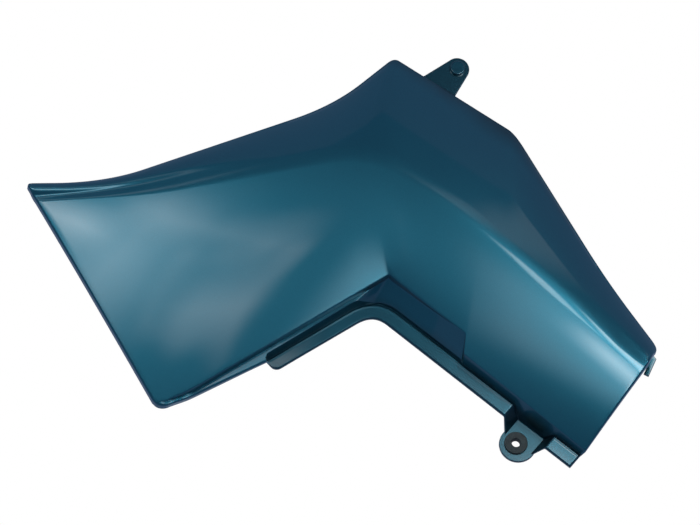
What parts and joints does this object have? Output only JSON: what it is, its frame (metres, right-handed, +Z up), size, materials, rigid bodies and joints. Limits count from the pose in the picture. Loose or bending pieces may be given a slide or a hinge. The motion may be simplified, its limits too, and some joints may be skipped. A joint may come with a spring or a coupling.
{
  "type": "motorcycle side panel",
  "caption": "Painted moulded side cover: ridged face, return lips, stepped flange with an elbow notch, mounting ears, locating peg, hook and rubber grommet.",
  "frame": {"origin": "centre of the lower screw bore, on the outer face of the ear that holds the grommet", "axes": "+X to the rear of the vehicle, +Z up, and the painted face looks to -Y, out of the vehicle"},
  "size_m": [0.5079, 0.0468, 0.3523],
  "materials": {
    "teal_paint": "metallic teal paint under a gloss clear coat",
    "black_rubber": "satin moulded rubber"
  },
  "bodies": {
    "root": {"panel": "teal_paint", "lower_grommet": "black_rubber"}
  },
  "joints": []
}
